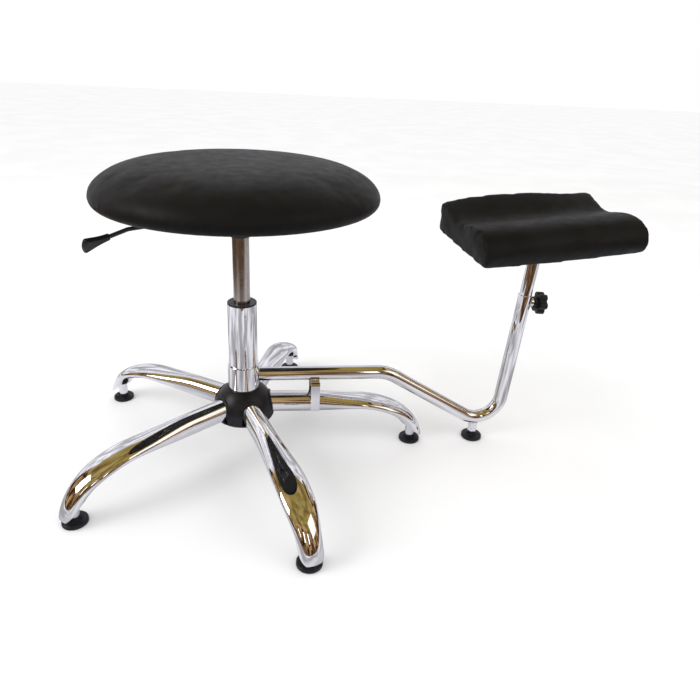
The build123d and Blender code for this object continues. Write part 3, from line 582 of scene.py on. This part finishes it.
make_dust_cover()
make_staples()


# ---- welds ----

BEAD_RADIUS = 1.5 * MM
BEAD_STEPS = 48
BEAD_RIPPLE = 0.16
BEAD_REACH = 0.08
ARM_HEIGHT = 152 * MM
ARM_RING = 12.6 * MM
FORK_BEAD_HALF = 7.2 * MM
FORK_BEAD_STEPS = 12
CLAMP_SLOPE = 0.0633


def surface_of(node):
    """Search tree of a CAD node's faces."""
    data = nodes[node].data
    return BVHTree.FromPolygons([v.co for v in data.vertices], [tuple(p.vertices) for p in data.polygons])


def weld_ring(name, node, middle, toward, radius):
    """A bead where a tube of the given radius, running from middle toward a node, meets that node."""
    surface = surface_of(node)
    toward = toward.normalized()
    side = toward.orthogonal().normalized()
    other = toward.cross(side)
    line = []
    for step in range(BEAD_STEPS):
        angle = 2 * math.pi * step / BEAD_STEPS
        start = middle + (side * math.cos(angle) + other * math.sin(angle)) * radius
        place = surface.ray_cast(start, toward, BEAD_REACH)[0]
        if place is not None:
            line.append(place)
    if len(line) == BEAD_STEPS:
        thread(name, "arm", [line], BEAD_RADIUS, chrome, BEAD_RIPPLE, closed=True)


def make_welds():
    """Beads at the collar, the foot boss and the clamp boss, and two short ones on the fork."""
    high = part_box("collar")[1]
    start = Vector((high.x + 30 * MM, 0, ARM_HEIGHT))
    weld_ring("weld_collar", "collar", start, Vector((-1, 0, 0)), ARM_RING)
    low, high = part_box("foot_boss")
    boss = Vector(((low.x + high.x) / 2, 0, low.z))
    weld_ring("weld_foot_boss", "arm_tube", boss, Vector((0, 0, 1)), (high.x - low.x) / 2)
    low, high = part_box("clamp_boss")
    middle = Vector((high.x, 0, (low.z + high.z) / 2))
    inward = Vector((-1, 0, CLAMP_SLOPE))
    weld_ring("weld_clamp_boss", "arm_tube", middle, inward, (high.y - low.y) / 2)
    low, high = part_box("fork_bracket")
    lines = []
    for side in (-1, 1):
        line = []
        for step in range(FORK_BEAD_STEPS + 1):
            along = low.x + (high.x - low.x) * step / FORK_BEAD_STEPS
            line.append(Vector((along, side * FORK_BEAD_HALF, high.z)))
        lines.append(line)
    thread("weld_fork", "arm", lines, BEAD_RADIUS, chrome, BEAD_RIPPLE)


make_welds()


# ---- studio ----

FLOOR_HALF = 12.0
ROOM_HALF = 3.0
ROOM_HEIGHT = 2.5
PAPER_LEFT, PAPER_RIGHT = -0.75, 1.6
PAPER_FRONT, PAPER_BACK = -0.70, 1.3
BACKDROP_HALF = 2.4
PAPER_WHITE = (0.80, 0.79, 0.84)


def matt_material(name, colour, deep=0.97, scale=3.0):
    """A plain matt colour with the unevenness of paper; deep is how far its darker patches fall."""
    material, shader = new_material(name, Roughness=0.9)
    darker = tuple(part * deep for part in colour)
    cloud = noise(material, scale, detail=2)
    tint = ramp(material, cloud.outputs["Fac"], [(0.42, darker), (0.58, colour)])
    wire(material, tint.outputs["Color"], shader.inputs["Base Color"])
    shader.inputs["Specular IOR Level"].default_value = 0.1
    return material


def glow_material(name, stops, scale, strength, stretch=(1, 1, 1)):
    """A softly glowing wall, cloudy in the given colours, for the chrome to mirror."""
    material = bpy.data.materials.new(name)
    material.use_nodes = True
    tree = material.node_tree
    tree.nodes.clear()
    output = tree.nodes.new("ShaderNodeOutputMaterial")
    glow = tree.nodes.new("ShaderNodeEmission")
    glow.inputs["Strength"].default_value = strength
    where = add_node(material, "ShaderNodeTexCoord")
    squeeze = add_node(material, "ShaderNodeMapping")
    squeeze.inputs["Scale"].default_value = stretch
    wire(material, where.outputs["Object"], squeeze.inputs["Vector"])
    bands = add_node(material, "ShaderNodeTexNoise", Scale=scale, Detail=4.0)
    wire(material, squeeze.outputs["Vector"], bands.inputs["Vector"])
    colours = ramp(material, bands.outputs["Fac"], stops)
    wire(material, colours.outputs["Color"], glow.inputs["Color"])
    wire(material, glow.outputs["Emission"], output.inputs["Surface"])
    return material


def panel(name, corners, material, mirror_only=True):
    """One flat stage panel; a mirrored one shows in reflections and nowhere else."""
    shape = bmesh.new()
    shape.faces.new([shape.verts.new(corner) for corner in corners])
    data = bpy.data.meshes.new(name)
    shape.to_mesh(data)
    shape.free()
    data.materials.append(material)
    piece = bpy.data.objects.new(name, data)
    bpy.context.scene.collection.objects.link(piece)
    piece.visible_camera = not mirror_only
    piece.visible_diffuse = not mirror_only
    piece.visible_shadow = not mirror_only
    piece.visible_glossy = mirror_only


def flat(left, right, front, back, height):
    """Corners of a level rectangle."""
    return [(left, front, height), (right, front, height), (right, back, height), (left, back, height)]


def upright(start, end, low, high):
    """Corners of an upright rectangle over the line from start to end."""
    return [(*start, low), (*end, low), (*end, high), (*start, high)]


def build_room():
    """White floor for the camera; a sheet of paper in a warm brown room only for the chrome to mirror."""
    white = matt_material("floor_white", (0.97, 0.97, 0.97))
    panel("floor", flat(-FLOOR_HALF, FLOOR_HALF, -FLOOR_HALF, FLOOR_HALF, 0), white, mirror_only=False)
    paper = matt_material("paper_white", PAPER_WHITE, deep=0.42, scale=3.2)
    panel("paper", flat(PAPER_LEFT, PAPER_RIGHT, PAPER_FRONT, PAPER_BACK, 0.0006), paper)
    panel("backdrop", upright((-BACKDROP_HALF, PAPER_BACK), (BACKDROP_HALF, PAPER_BACK), 0, 2.2), paper)
    dark, brown, gold = (0.020, 0.010, 0.008), (0.20, 0.095, 0.045), (0.62, 0.42, 0.20)
    olive, cream = (0.36, 0.28, 0.07), (0.95, 0.86, 0.70)
    wood = glow_material("mirrored_wood", [(0.35, dark), (0.5, brown), (0.7, gold)], 3, 0.6, (0.4, 3, 1))
    wall = glow_material("mirrored_wall", [(0.40, dark), (0.50, brown), (0.60, gold)], 1.6, 0.8, (1, 1, 0.6))
    roof = glow_material("mirrored_roof", [(0.35, brown), (0.50, olive), (0.66, gold)], 1.2, 0.8)
    lamp = glow_material("mirrored_window", [(0.3, cream), (0.6, (1, 1, 1))], 1, 2.5)
    panel("wood", flat(-ROOM_HALF, ROOM_HALF, -ROOM_HALF, ROOM_HALF, 0.0003), wood)
    panel("roof", flat(-ROOM_HALF, ROOM_HALF, -ROOM_HALF, ROOM_HALF, ROOM_HEIGHT), roof)
    signs = [(-1, -1), (1, -1), (1, 1), (-1, 1)]
    corners = [(x * ROOM_HALF, y * ROOM_HALF) for x, y in signs]
    for index, start in enumerate(corners):
        panel(f"wall_{index}", upright(start, corners[(index + 1) % 4], 0, ROOM_HEIGHT), wall)
    near = -ROOM_HALF + 0.05
    for index, left in enumerate((-1.7, -0.35, 0.8)):
        panel(f"window_{index}", upright((left, near), (left + 0.22, near), 0.9, 2.0), lamp)


def add_light(name, place, target, size, power, colour=(1, 1, 1)):
    """A soft square light aimed at a point."""
    data = bpy.data.lights.new(name, "AREA")
    data.shape = "SQUARE"
    data.size = size
    data.energy = power
    data.color = colour
    light = bpy.data.objects.new(name, data)
    light.location = place
    aim = Vector(target) - Vector(place)
    light.rotation_euler = aim.to_track_quat("-Z", "Y").to_euler()
    bpy.context.scene.collection.objects.link(light)


def light_studio():
    """White surround with one large soft key from the left and a weak fill from the right front."""
    world = bpy.data.worlds.new("studio")
    world.use_nodes = True
    world.node_tree.nodes["Background"].inputs["Color"].default_value = (1, 1, 1, 1)
    world.node_tree.nodes["Background"].inputs["Strength"].default_value = 1.0
    bpy.context.scene.world = world
    bpy.context.scene.view_settings.view_transform = "Standard"
    add_light("key", (-2.2, -0.6, 1.7), (0.0, 0, 0.4), 1.3, 26)
    add_light("fill", (2.2, -1.4, 1.8), (0.3, 0, 0.2), 1.6, 8)


build_room()
light_studio()
